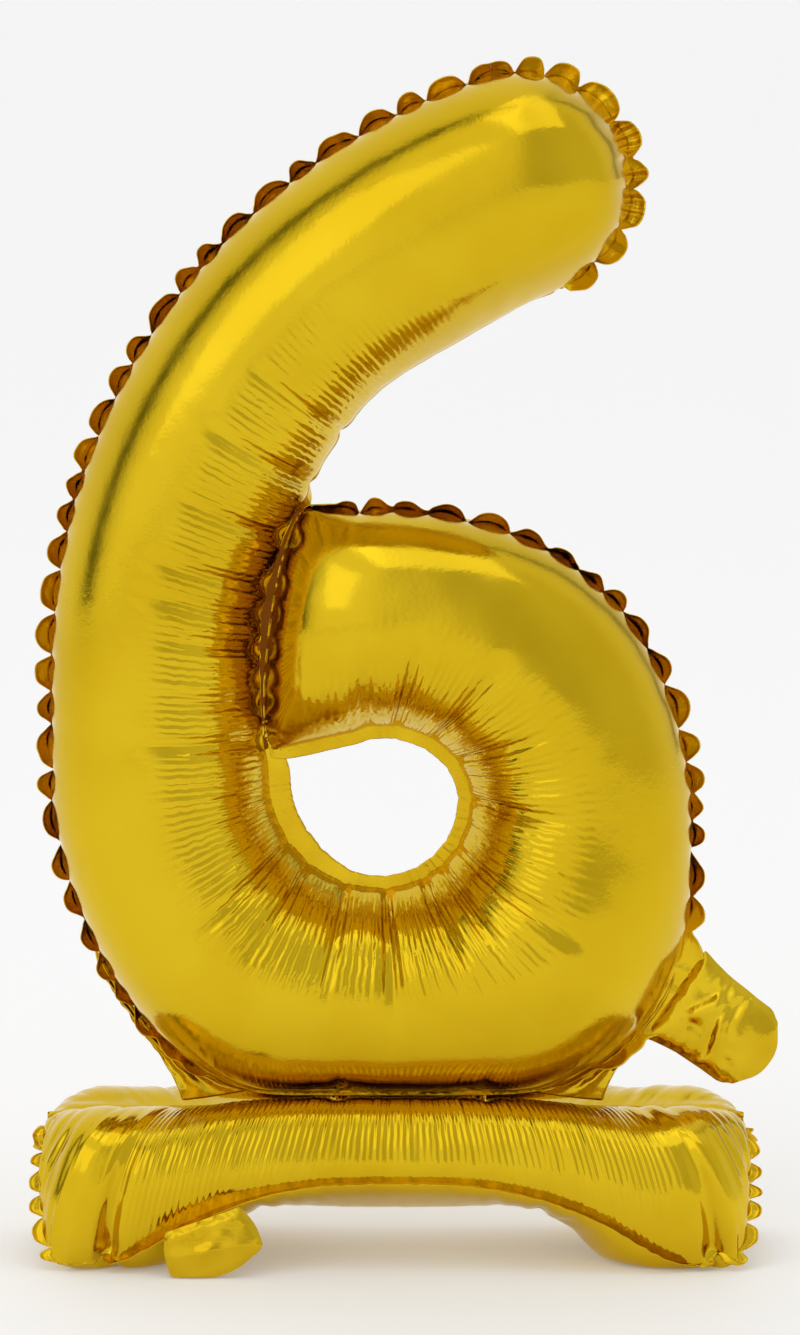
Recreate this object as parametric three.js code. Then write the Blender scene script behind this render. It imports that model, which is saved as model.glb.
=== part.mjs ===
// A self-standing foil number balloon: an inflated figure six on an inflated four-footed base.
// Millimetres, +Z up. The figure lies in the XZ plane and faces -Y. The origin is on the floor,
// under the middle of the whole outline.
import * as THREE from "three";

// The film and how its pieces meet
const film = 0.8; // wall that stands for the foil, which is about 0.03 mm thick
const seat = 0.3; // gap kept where two pieces are heat-sealed to each other
const sealWidth = 4; // heat-sealed margin outside each chamber
const tuck = 1; // how far a sealed margin reaches under the rims of its panels

// The figure: a tube between an outer and an inner seam, wound into a six.
// Its heights are measured from the waist, where it bends from the base.
const armRadius = 197; // outer seam of the upper arm
const armMiddle = new THREE.Vector2(88, 138.5);
const armSweep = 73; // degrees from the stem up to the tip
const tipRadius = 34.5;
const stemFoot = 104.5; // below here the stem bends into the bowl
const bowl = { right: 94, top: 190, shoulder: 88.5, foot: 74.5 }; // its outer seam
const eye = { x: -5, z: 97.5, left: 35.5, right: 28.8, low: 28.5, high: 24, brow: 113.5 }; // its inner seam
const notchX = -25; // where the bowl's top margin runs into the arm's
const depthShare = 0.9; // depth of the tube as a share of its width
const weldWidth = 3; // sealed strip that parts the stem from the end of the bowl
const weldBow = 6; // how far the end of the bowl swells into the stem's curve
const endFade = 34; // length over which the tube flattens into that strip

const waistHalfWidth = 68; // to the outer feet of the webs beside the bowl

// The base: front, back and underside panels
const waistHeight = 47.5; // the bending line between figure and base, from the floor
const baseHalfLength = 111; // to the upper corners
const baseHalfDepth = 39; // to the seams at the feet
const archHeight = 29; // front and back seams in the middle
const archSpan = 86; // where the arch comes down to the feet
const footSeamHeight = 2.2;
const footLength = 18; // along the seam's lowest stretch
const cornerHeight = 43; // the upper corners
const bellyHeight = 15; // lowest point of the underside in the middle
const footLobe = 24; // how far the underside swells down over each foot, before it meets the floor
const panelSwell = 0.28; // bulge of the front and back panels, as a share of their chord

// Filling tabs and the film valves behind them
const figureTab = { width: 28, length: 34, share: 0.66, lean: -36, rootRise: 1 };
const baseTab = { width: 27, length: 16, middle: -62, droop: 86, bendGap: 1, rootRise: 0 };
const tabFilm = 0.5;
const tabGap = 0.6; // between a tab's two layers
const hingeGap = 1.4; // bare film between the margin and a tab's first edge
const valveFilm = 0.3;
const valveWidth = 16;
const valveLength = 40;

const rad = THREE.MathUtils.degToRad;
const foil = () => new THREE.MeshStandardMaterial({ color: 0xd9b21c, roughness: 0.22, metalness: 1 });
const clearFilm = () => new THREE.MeshStandardMaterial({ color: 0xd8d8d0, roughness: 0.3, metalness: 0 });

// ---------- solids from grids of points ----------

// A closed solid between two grids of the same size, one the outside and one the inside of a wall.
function wallSolid(outside, inside) {
  const rows = outside.length;
  const columns = outside[0].length;
  const points = [...outside.flat(), ...inside.flat()];
  const at = (side, i, j) => side * rows * columns + i * columns + j;
  const index = [];
  const quad = (a, b, c, d) => index.push(a, b, c, a, c, d);
  for (let i = 0; i < rows - 1; i++) {
    for (let j = 0; j < columns - 1; j++) {
      quad(at(0, i, j), at(0, i + 1, j), at(0, i + 1, j + 1), at(0, i, j + 1));
      quad(at(1, i, j), at(1, i, j + 1), at(1, i + 1, j + 1), at(1, i + 1, j));
    }
    quad(at(0, i, 0), at(1, i, 0), at(1, i + 1, 0), at(0, i + 1, 0));
    const last = columns - 1;
    quad(at(0, i, last), at(0, i + 1, last), at(1, i + 1, last), at(1, i, last));
  }
  for (let j = 0; j < columns - 1; j++) {
    quad(at(0, 0, j), at(0, 0, j + 1), at(1, 0, j + 1), at(1, 0, j));
    const last = rows - 1;
    quad(at(0, last, j), at(1, last, j), at(1, last, j + 1), at(0, last, j + 1));
  }
  const geometry = new THREE.BufferGeometry().setFromPoints(points).setIndex(index);
  return signedVolume(points, index) < 0 ? geometry.setIndex(turned(index)) : geometry;
}

function signedVolume(points, index) {
  let sum = 0;
  for (let k = 0; k < index.length; k += 3) {
    const [a, b, c] = [points[index[k]], points[index[k + 1]], points[index[k + 2]]];
    sum += a.dot(new THREE.Vector3().crossVectors(b, c));
  }
  return sum;
}

function turned(index) {
  const flipped = [...index];
  for (let k = 0; k < flipped.length; k += 3) {
    [flipped[k + 1], flipped[k + 2]] = [flipped[k + 2], flipped[k + 1]];
  }
  return flipped;
}

// The grid moved along its own normals by a distance; the sign picks the side.
function offsetGrid(grid, distance) {
  const near = (list, k) => list[Math.max(0, Math.min(list.length - 1, k))];
  return grid.map((row, i) =>
    row.map((point, j) => {
      const along = near(grid, i + 1)[j].clone().sub(near(grid, i - 1)[j]);
      const across = near(row, j + 1).clone().sub(near(row, j - 1));
      const normal = along.cross(across).normalize();
      return point.clone().addScaledVector(normal, distance);
    }),
  );
}

const mirrored = (grid) => grid.map((row) => row.map((p) => new THREE.Vector3(p.x, -p.y, p.z)));

// A flat plate in the XZ plane, centred on y = 0.
function plate(shape, thickness) {
  const options = { depth: thickness, bevelEnabled: false, curveSegments: 10 };
  const geometry = new THREE.ExtrudeGeometry(shape, options);
  return geometry.translate(0, 0, -thickness / 2).rotateX(Math.PI / 2);
}

function named(name, geometry, material) {
  const mesh = new THREE.Mesh(geometry, material);
  mesh.name = name;
  return mesh;
}

// ---------- the figure ----------

const flat = (points) => points.map(([x, z]) => new THREE.Vector2(x, z));
const line = (...points) => new THREE.LineCurve(...flat(points));
const bend = (...points) => new THREE.CubicBezierCurve(...flat(points));
const sweep = (x, z, a, b, from, to) => new THREE.EllipseCurve(x, z, a, b, from, to, to < from);

const armEnd = Math.PI - rad(armSweep);
const tip = new THREE.Vector2(Math.cos(armEnd), Math.sin(armEnd))
  .multiplyScalar(armRadius - tipRadius)
  .add(armMiddle);
const tipFacing = armEnd - Math.PI / 2;
const capStart = rad(2.5);
const stemLeft = armMiddle.x - armRadius;
const tipArc = (offset, from, to) => sweep(tip.x, tip.y, tipRadius + offset, tipRadius + offset, from, to);

// The outer seam's stretches from the arm to the notch, moved outwards by an offset.
function outerSeam(offset) {
  const [left, right] = [stemLeft - offset, bowl.right + offset];
  const [floor, top] = [sealWidth - offset, bowl.top + offset];
  const corner = offset * 0.4;
  return [
    sweep(armMiddle.x, armMiddle.y, armRadius + offset, armRadius + offset, armEnd, Math.PI),
    line([left, armMiddle.y], [left, stemFoot]),
    bend([left, stemFoot], [left, stemFoot - 38 - corner], [-78 - corner, floor], [-38, floor]),
    line([-38, floor], [eye.x, floor]),
    line([eye.x, floor], [34, floor]),
    bend([34, floor], [66 + corner, floor], [right, bowl.foot - 42 - corner], [right, bowl.foot]),
    line([right, bowl.foot], [right, bowl.shoulder]),
    bend([right, bowl.shoulder], [right, bowl.shoulder + 58], [60 + corner, top], [eye.x, top]),
    line([eye.x, top], [notchX - 0.8 * (sealWidth - offset), top]),
  ];
}

// The seam under the arm and down the stem.
const stemSeam = eye.x - eye.left;
const stemSide = [[stemSeam - 1, stemFoot + 56], [stemSeam - 2, stemFoot + 24], [stemSeam, stemFoot]];
const armSeam = new THREE.SplineCurve([
  tipArc(0, armEnd - Math.PI, 0).getPoint(0),
  ...flat([[22, 245], [-8, 225.5], [-29, 194.5], ...stemSide]),
]);
const stemShare = 0.86; // of that seam, where it stops curving

// The seam round the eye of the bowl, moved into the eye by an offset.
function eyeSeam(offset) {
  const [low, high, right] = [eye.low - offset, eye.high - offset, eye.right - offset];
  const leftLow = stemFoot - eye.z + low;
  const quarter = Math.PI / 2;
  return [
    sweep(eye.x, stemFoot, eye.left - offset, leftLow, 2 * quarter, 2.76 * quarter),
    sweep(eye.x, stemFoot, eye.left - offset, leftLow, 2.76 * quarter, 3 * quarter),
    sweep(eye.x, eye.z, right, low, 3 * quarter, 3.24 * quarter),
    sweep(eye.x, eye.z, right, low, 3.24 * quarter, 3.86 * quarter),
    sweep(eye.x, eye.z, right, low, 3.86 * quarter, 4 * quarter),
    sweep(eye.x, eye.z, right, high, 0, quarter),
    line([eye.x, eye.z + high], [stemSeam + weldWidth + offset / 2, eye.brow - offset]),
  ];
}

const piece = (curve, from, to) => ({ getPointAt: (t) => curve.getPointAt(from + (to - from) * t) });
const innerSeam = [piece(armSeam, 0, stemShare), piece(armSeam, stemShare, 1), ...eyeSeam(0)];
const innerCap = tipArc(0, tipFacing - capStart, armEnd - Math.PI);
const seamPairs = [
  [tipArc(0, tipFacing + capStart, armEnd), innerCap],
  ...outerSeam(0).map((outer, k) => [outer, innerSeam[k]]),
];
const seamSteps = [7, 13, 2, 9, 3, 3, 7, 1, 9, 4];

// Stations across the tube, from the tip of the arm to the weld beside the stem.
const stations = seamPairs.flatMap(([outer, inner], part) => {
  const steps = seamSteps[part];
  const count = part === seamPairs.length - 1 ? steps + 1 : steps;
  return Array.from({ length: count }, (_, k) => {
    const [a, b] = [outer.getPointAt(k / steps), inner.getPointAt(k / steps)];
    const out = a.clone().sub(b).normalize();
    return { middle: a.clone().add(b).multiplyScalar(0.5), half: a.distanceTo(b) / 2, out };
  });
});
let remaining = 0;
for (let i = stations.length - 1; i >= 0; i--) {
  const here = stations[i];
  if (i < stations.length - 1) remaining += here.middle.distanceTo(stations[i + 1].middle);
  const share = Math.min(1, remaining / endFade);
  here.depth = Math.max(film * 1.1, here.half * depthShare * Math.sqrt(share * (2 - share)));
  here.bow = weldBow * (1 - share);
}

// A point of a station's rib in the seam plane; the last ribs bow towards the stem.
function ribPoint({ middle, half, out, bow }, turn, inset) {
  const point = middle.clone().addScaledVector(out, (half - inset) * Math.cos(turn));
  const onwards = new THREE.Vector2(-out.y, out.x);
  return point.addScaledVector(onwards, bow * Math.sin(turn) ** 2);
}

const figureRim = film / 2 + seat; // the panels' rims stand this far from the seam plane
const ribSteps = 8;

function figureSkin(inset) {
  return stations.map((station) =>
    Array.from({ length: ribSteps + 1 }, (_, k) => {
      const turn = (Math.PI * k) / ribSteps;
      const across = ribPoint(station, turn, inset);
      const depth = Math.max(0, station.depth - inset) * Math.sin(turn);
      return new THREE.Vector3(across.x, -figureRim - depth, across.y);
    }),
  );
}

function figurePanels() {
  const [skin, lining] = [figureSkin(0), figureSkin(film)];
  return [
    named("number_front_panel", wallSolid(skin, lining), foil()),
    named("number_back_panel", wallSolid(mirrored(skin), mirrored(lining)), foil()),
  ];
}

// The sealed margin: the six's whole outline, less the inside of the tube and the bowl's eye.
const lowestEdge = seat / 2; // above the bending line
const aboveWaist = (p) => new THREE.Vector2(p.x, Math.max(p.y, lowestEdge));
const along = (curves, steps) => curves.flatMap((c) => c.getPoints(c.isLineCurve ? 1 : steps).slice(1));

function figureMargin() {
  const underArm = armSeam.getSpacedPoints(24).map((p, k) => {
    const tangent = armSeam.getTangentAt(k / 24);
    return new THREE.Vector2(p.x - sealWidth * tangent.y, p.y + sealWidth * tangent.x);
  });
  const outline = [
    ...tipArc(sealWidth, armEnd - Math.PI, armEnd).getPoints(14),
    ...along(outerSeam(sealWidth), 10),
    ...underArm.filter((p) => p.y > bowl.top + sealWidth + 2).reverse().slice(0, -1),
  ].map(aboveWaist);
  const inside = [
    ...stations.map((s) => ribPoint(s, 0, tuck)),
    ...[0.25, 0.5, 0.75].map((t) => ribPoint(stations[stations.length - 1], Math.PI * t, tuck)),
    ...[...stations].reverse().map((s) => ribPoint(s, Math.PI, tuck)),
  ];
  const shape = new THREE.Shape(outline);
  shape.holes.push(new THREE.Path(inside), new THREE.Path(along(eyeSeam(sealWidth), 6)));
  return named("number_edge_seal", plate(shape, film), foil());
}

// Flat webs of film that fill the corners between the round bowl and the base.
function waistWeb(name, curve, foot, shares) {
  const edge = shares.map((t) => curve.getPoint(t)).filter((p) => p.y > lowestEdge + 0.5);
  const top = edge[0];
  const heel = new THREE.Vector2(edge[edge.length - 1].x + Math.sign(-foot) * 4, lowestEdge);
  const pull = new THREE.Vector2(foot * 1.03, lowestEdge + (top.y - lowestEdge) * 0.5);
  const side = new THREE.QuadraticBezierCurve(new THREE.Vector2(foot, lowestEdge), pull, top);
  const outline = [...edge, heel, ...side.getPoints(6).slice(0, -1)];
  return named(name, plate(new THREE.Shape(outline), film), foil());
}

function waistWebs() {
  const reach = outerSeam(sealWidth + seat);
  const shares = [0.66, 0.72, 0.78, 0.84, 0.9, 0.96];
  return [
    waistWeb("waist_web_left", reach[2], -waistHalfWidth, shares),
    waistWeb("waist_web_right", reach[5], waistHalfWidth - 2, shares.map((t) => 1 - t)),
  ];
}

// ---------- filling tabs ----------

// A tab's two foil layers, drawn hanging down from their hinge line at the origin.
function tabLayers(prefix, { width, length, rootRise }) {
  const corner = length * 0.3;
  const half = width / 2;
  const shape = new THREE.Shape();
  const root = [half * 0.86, rootRise - hingeGap];
  shape.moveTo(-root[0], root[1]);
  shape.lineTo(-half, -corner);
  shape.lineTo(-half, corner - length);
  shape.quadraticCurveTo(-half, -length, corner - half, -length);
  shape.lineTo(half - corner, -length);
  shape.quadraticCurveTo(half, -length, half, corner - length);
  shape.lineTo(half, -corner);
  shape.lineTo(...root);
  shape.quadraticCurveTo(0, -hingeGap - rootRise, -root[0], root[1]);
  const offset = (tabGap + tabFilm) / 2;
  return ["front", "back"].map((side, k) => {
    const layer = named(prefix + "_" + side + "_layer", plate(shape, tabFilm), foil());
    layer.position.y = k ? offset : -offset;
    return layer;
  });
}

// The two clear films of a self-closing valve, drawn upwards from the origin.
function valveFilms(prefix, length) {
  const shape = new THREE.Shape();
  const half = valveWidth / 2;
  shape.moveTo(-half, 0);
  shape.lineTo(half, 0);
  shape.lineTo(half * 0.7, length);
  shape.lineTo(-half * 0.7, length);
  const offset = (seat + valveFilm) / 2;
  return ["front", "back"].map((side, k) => {
    const layer = named(prefix + "_" + side, plate(shape, valveFilm), clearFilm());
    layer.position.y = k ? offset : -offset;
    return layer;
  });
}

// A group turned so that its local -Z points the given way in the XZ plane.
function turnedGroup(members, x, z, lean) {
  const group = new THREE.Group().add(...members);
  group.position.set(x, 0, z);
  group.rotation.y = -rad(lean + 90);
  return group;
}

function figureTabGroup() {
  const root = outerSeam(sealWidth)[5].getPoint(figureTab.share);
  return turnedGroup(tabLayers("number_tab", figureTab), root.x, root.y, figureTab.lean);
}

function figureValve() {
  const root = outerSeam(-6 * tuck)[5].getPoint(figureTab.share);
  return turnedGroup(valveFilms("number_valve_film", valveLength), root.x, root.y, figureTab.lean);
}

// ---------- the base ----------

// The front seam of the right half, from the middle to the upper corner.
const seamHeight = (x) => footSeamHeight + (archHeight - footSeamHeight) * (1 - (x / archSpan) ** 2.6);
const rightSeam = [
  ...[0, 0.3, 0.55, 0.75, 0.9].map((share) => {
    const x = share * archSpan;
    return new THREE.Vector3(x, -baseHalfDepth + 2 * (1 - share), seamHeight(x));
  }),
  new THREE.Vector3(archSpan + footLength * 0.1, -baseHalfDepth, footSeamHeight + 1),
  new THREE.Vector3(archSpan + footLength * 0.6, -baseHalfDepth, footSeamHeight),
  new THREE.Vector3(baseHalfLength - 3, -baseHalfDepth * 0.95, footSeamHeight + 1.5),
  new THREE.Vector3(baseHalfLength + 1, -baseHalfDepth * 0.7, cornerHeight * 0.36),
  new THREE.Vector3(baseHalfLength + 1.5, -baseHalfDepth * 0.35, cornerHeight * 0.68),
  new THREE.Vector3(baseHalfLength, -3, cornerHeight - 5),
];
const flipX = (p) => new THREE.Vector3(-p.x, p.y, p.z);
const frontSeam = new THREE.CatmullRomCurve3([...rightSeam.slice(1).reverse().map(flipX), ...rightSeam]);
const baseSteps = 44;
const seamShares = Array.from({ length: baseSteps + 1 }, (_, k) => k / baseSteps);

// At each share of the seam: its point, the way the margin points, and the normal of the margin.
const seamFrames = seamShares.map((share) => {
  const point = frontSeam.getPointAt(share);
  const tangent = frontSeam.getTangentAt(share);
  const sideways = THREE.MathUtils.smoothstep(Math.abs(point.x), archSpan, baseHalfLength);
  const outward = new THREE.Vector3(Math.sign(point.x) * sideways * 1.3, sideways - 1, 0).normalize();
  const normal = outward.clone().cross(tangent).normalize().multiplyScalar(-1);
  if (normal.z < 0 || (Math.abs(normal.z) < 0.05 && normal.y > 0)) normal.negate();
  return { point, outward, normal };
});

function topSeamPoint(share) {
  const along = 2 * share - 1;
  const drop = (waistHeight - sealWidth / 2 - cornerHeight) * along ** 4;
  return new THREE.Vector3(baseHalfLength * along, -film / 2 - 2 * seat, waistHeight - sealWidth / 2 - drop);
}

const panelSteps = 7;

function frontPanelGrid() {
  return seamFrames.map(({ point, normal }, i) => {
    const top = topSeamPoint(seamShares[i]);
    const rim = point.clone().addScaledVector(normal, film / 2 + seat);
    const chord = rim.clone().sub(top);
    const facing = new THREE.Vector3(point.x / baseHalfLength * 0.35, -1, 0.6);
    const swell = facing.addScaledVector(chord, -facing.dot(chord) / chord.lengthSq()).normalize();
    swell.multiplyScalar(panelSwell * chord.length());
    return Array.from({ length: panelSteps + 1 }, (_, k) => {
      const t = k / panelSteps;
      return top.clone().addScaledVector(chord, t).addScaledVector(swell, Math.sin(Math.PI * t));
    });
  });
}

function basePanels() {
  const skin = frontPanelGrid();
  const lining = offsetGrid(skin, -film);
  return [
    named("base_front_panel", wallSolid(skin, lining), foil()),
    named("base_back_panel", wallSolid(mirrored(skin), mirrored(lining)), foil()),
  ];
}

// The underside hangs between the front and back seams: a belly in the middle, a lobe over each foot.
const undersideSteps = 14;

function undersideGrid() {
  return seamFrames.map(({ point, normal }, i) => {
    const rim = point.clone().addScaledVector(normal, -1.5 * film - seat);
    const middleX = topSeamPoint(seamShares[i]).x;
    const toCorner = THREE.MathUtils.smoothstep(Math.abs(middleX), 0, baseHalfLength);
    const middleHeight = THREE.MathUtils.lerp(bellyHeight, cornerHeight - 7, toCorner ** 1.6);
    const lobe = footLobe * THREE.MathUtils.smoothstep(Math.abs(rim.x), archSpan * 0.55, archSpan * 1.05);
    const lobeHere = lobe * THREE.MathUtils.clamp((cornerHeight - rim.z) / cornerHeight, 0, 1) ** 2;
    return Array.from({ length: undersideSteps + 1 }, (_, k) => {
      const across = (2 * k) / undersideSteps - 1;
      const inward = 1 - Math.abs(across) ** 1.5;
      const sag = lobeHere * Math.sin(Math.PI * Math.abs(across)) ** 0.8;
      const z = rim.z + (middleHeight - rim.z) * inward - sag;
      return new THREE.Vector3(rim.x + (middleX - rim.x) * inward, -rim.y * across, Math.max(0, z));
    });
  });
}

function underside() {
  const skin = undersideGrid();
  return named("base_gusset_panel", wallSolid(skin, offsetGrid(skin, film)), foil());
}

// The sealed margins of the base: one along the top, one along the front seam, one along the back.
function topMargin() {
  const lower = seamShares.map((s) => topSeamPoint(s)).map((p) => new THREE.Vector2(p.x, p.z - tuck));
  const upper = seamShares.map((s) => topSeamPoint(s)).reverse();
  const crest = upper.map((p) => new THREE.Vector2(p.x, p.z + sealWidth / 2 - seat / 2));
  return named("base_top_seal", plate(new THREE.Shape([...lower, ...crest]), film), foil());
}

function seamMargins() {
  const face = (side) =>
    seamFrames.map(({ point, outward, normal }) =>
      [-tuck, sealWidth].map((reach) => {
        const at = point.clone().addScaledVector(outward, reach);
        return at.addScaledVector(normal, (side * film) / 2);
      }),
    );
  const [above, below] = [face(1), face(-1)];
  return [
    named("base_front_seal", wallSolid(above, below), foil()),
    named("base_back_seal", wallSolid(mirrored(above), mirrored(below)), foil()),
  ];
}

// The base's tab hangs forward from the front margin, its root along the seam.
function baseTabFrame() {
  const share = seamShares.find((s) => frontSeam.getPointAt(s).x >= baseTab.middle);
  const point = frontSeam.getPointAt(share);
  const tangent = frontSeam.getTangentAt(share);
  return { point, slope: Math.atan2(tangent.z, tangent.x) };
}

function baseTabGroup() {
  const { point, slope } = baseTabFrame();
  const swing = new THREE.Group().add(...tabLayers("base_tab", baseTab));
  swing.rotation.x = -rad(90 - baseTab.droop);
  const group = new THREE.Group().add(swing);
  group.rotation.y = -slope;
  group.position.set(point.x, point.y - sealWidth - baseTab.bendGap, point.z);
  return group;
}

function baseValve() {
  const { point, slope } = baseTabFrame();
  const lying = new THREE.Group().add(...valveFilms("base_valve_film", valveLength * 0.6));
  lying.rotation.x = -rad(55);
  const group = new THREE.Group().add(lying);
  group.rotation.y = -slope;
  group.position.set(point.x, point.y + 4 * tuck, point.z + 2);
  return group;
}

// ---------- the whole balloon ----------

const figure = new THREE.Group();
figure.add(...figurePanels(), figureMargin(), ...waistWebs(), figureTabGroup(), figureValve());
figure.position.z = waistHeight;

const model = new THREE.Group();
model.add(
  figure,
  ...basePanels(),
  underside(),
  topMargin(),
  ...seamMargins(),
  baseTabGroup(),
  baseValve(),
);

export default model;
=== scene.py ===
import math

import bpy
import numpy as np
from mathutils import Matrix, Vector


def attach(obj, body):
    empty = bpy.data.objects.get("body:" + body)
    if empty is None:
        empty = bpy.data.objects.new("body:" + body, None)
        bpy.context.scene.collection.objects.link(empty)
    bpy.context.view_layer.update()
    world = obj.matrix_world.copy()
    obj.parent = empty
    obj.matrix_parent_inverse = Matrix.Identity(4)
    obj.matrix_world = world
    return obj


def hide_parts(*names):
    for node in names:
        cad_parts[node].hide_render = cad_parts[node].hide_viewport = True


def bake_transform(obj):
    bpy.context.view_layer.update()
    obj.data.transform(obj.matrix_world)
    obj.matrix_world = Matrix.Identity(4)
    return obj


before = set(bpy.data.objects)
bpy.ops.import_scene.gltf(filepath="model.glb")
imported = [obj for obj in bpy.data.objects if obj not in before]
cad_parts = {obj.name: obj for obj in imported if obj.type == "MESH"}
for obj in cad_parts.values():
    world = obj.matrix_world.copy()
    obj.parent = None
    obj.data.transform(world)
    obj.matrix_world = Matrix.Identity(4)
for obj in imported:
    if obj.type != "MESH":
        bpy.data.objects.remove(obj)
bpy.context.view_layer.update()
print("frame loaded")


# curves, as rows of points in metres
def arcPoints(centre, radii, start, end, count=60):
    angle = np.radians(np.linspace(start, end, count))
    return np.stack([centre[0] + radii[0] * np.cos(angle), centre[1] + radii[1] * np.sin(angle)], 1)


def bezierPoints(a, b, c, d, count=60):
    t = np.linspace(0, 1, count)[:, None]
    a, b, c, d = (np.array(p, float) for p in (a, b, c, d))
    return a * (1 - t) ** 3 + 3 * b * t * (1 - t) ** 2 + 3 * c * t * t * (1 - t) + d * t**3


def splinePoints(points, count=200):
    p = np.array(points, float)
    p = np.vstack([2 * p[0] - p[1], p, 2 * p[-1] - p[-2]])
    at = np.linspace(0, len(p) - 3 - 1e-6, count)
    i = at.astype(int)
    t = (at - i)[:, None]
    a, b, c, d = p[i], p[i + 1], p[i + 2], p[i + 3]
    curve = 2 * b + (c - a) * t + (2 * a - 5 * b + 4 * c - d) * t * t + (3 * b - a - 3 * c + d) * t**3
    return 0.5 * curve


# distance travelled along a row of points, from its first one
def runOf(points):
    return np.concatenate([[0], np.cumsum(np.linalg.norm(np.diff(points, axis=0), axis=1))])


def spaced(points, count):
    run = runOf(points)
    at = np.linspace(0, run[-1], count)
    return np.stack([np.interp(at, run, points[:, k]) for k in range(points.shape[1])], 1)


def smoothed(values, rounds):
    values = values.copy()
    for _ in range(rounds):
        values[1:-1] = 0.25 * values[:-2] + 0.5 * values[1:-1] + 0.25 * values[2:]
    return values


def smoothStep(values, low, high):
    t = np.clip((values - low) / (high - low), 0, 1)
    return t * t * (3 - 2 * t)


def cellQuads(index):
    return np.stack([index[:-1, :-1], index[1:, :-1], index[1:, 1:], index[:-1, 1:]], -1).reshape(-1, 4)


# joins the grids of a net where their points meet, and gives each grid's cells in the joined list
def sewn(grids):
    names = list(grids)
    points = np.concatenate([grids[n]["points"].reshape(-1, 3) for n in names])
    key = np.round(points / 2e-6).astype(np.int64)
    _, first, number = np.unique(key, axis=0, return_index=True, return_inverse=True)
    number = number.reshape(-1)
    net = {"points": points[first]}
    for name in ("along", "growth", "run", "fine"):
        width = 3 if name == "along" else 1
        values = []
        for n in names:
            shape = grids[n]["points"].shape[:2] + ((3,) if width == 3 else ())
            values.append(np.broadcast_to(grids[n][name], shape).reshape(-1, width))
        values = np.concatenate(values)
        net[name] = values[first] if width == 3 else values[first, 0]
    start = 0
    net["cells"], net["index"] = {}, {}
    for n in names:
        r, c = grids[n]["points"].shape[:2]
        index = number[start + np.arange(r * c)].reshape(r, c)
        cells = cellQuads(index)
        net["index"][n] = index
        if grids[n].get("turned"):
            cells = cells[:, ::-1]
        net["cells"][n] = cells
        start += r * c
    return net


def triangles(cells, seed=5):
    turned = np.random.default_rng(seed).random(len(cells)) < 0.5
    a, b, c, d = cells.T
    one = np.where(turned[:, None], np.stack([a, b, c], 1), np.stack([a, b, d], 1))
    two = np.where(turned[:, None], np.stack([a, c, d], 1), np.stack([b, c, d], 1))
    both = np.concatenate([one, two])
    keep = (both[:, 0] != both[:, 1]) & (both[:, 1] != both[:, 2]) & (both[:, 2] != both[:, 0])
    return both[keep]


def netEdges(faces):
    corners = np.concatenate([faces, faces[:, [1, 2, 0]], faces[:, [2, 0, 1]]])
    ends = np.sort(corners[:, :2], 1)
    order = np.lexsort((ends[:, 1], ends[:, 0]))
    ends, across = ends[order], corners[order, 2]
    starts = np.flatnonzero(np.concatenate([[True], (ends[1:] != ends[:-1]).any(1)]))
    counts = np.diff(np.concatenate([starts, [len(ends)]]))
    pairs = starts[counts == 2]
    return ends[starts], np.stack([across[pairs], across[pairs + 1]], 1)


# adds up, for each point, the values of everything that touches it
class Gather:
    def __init__(self, owner):
        self.order = np.argsort(owner, kind="stable")
        sortedOwner = owner[self.order]
        self.starts = np.flatnonzero(np.concatenate([[True], np.diff(sortedOwner) > 0]))
        self.owners = sortedOwner[self.starts]

    def sums(self, values):
        return np.add.reduceat(values[self.order], self.starts, axis=0)


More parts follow.
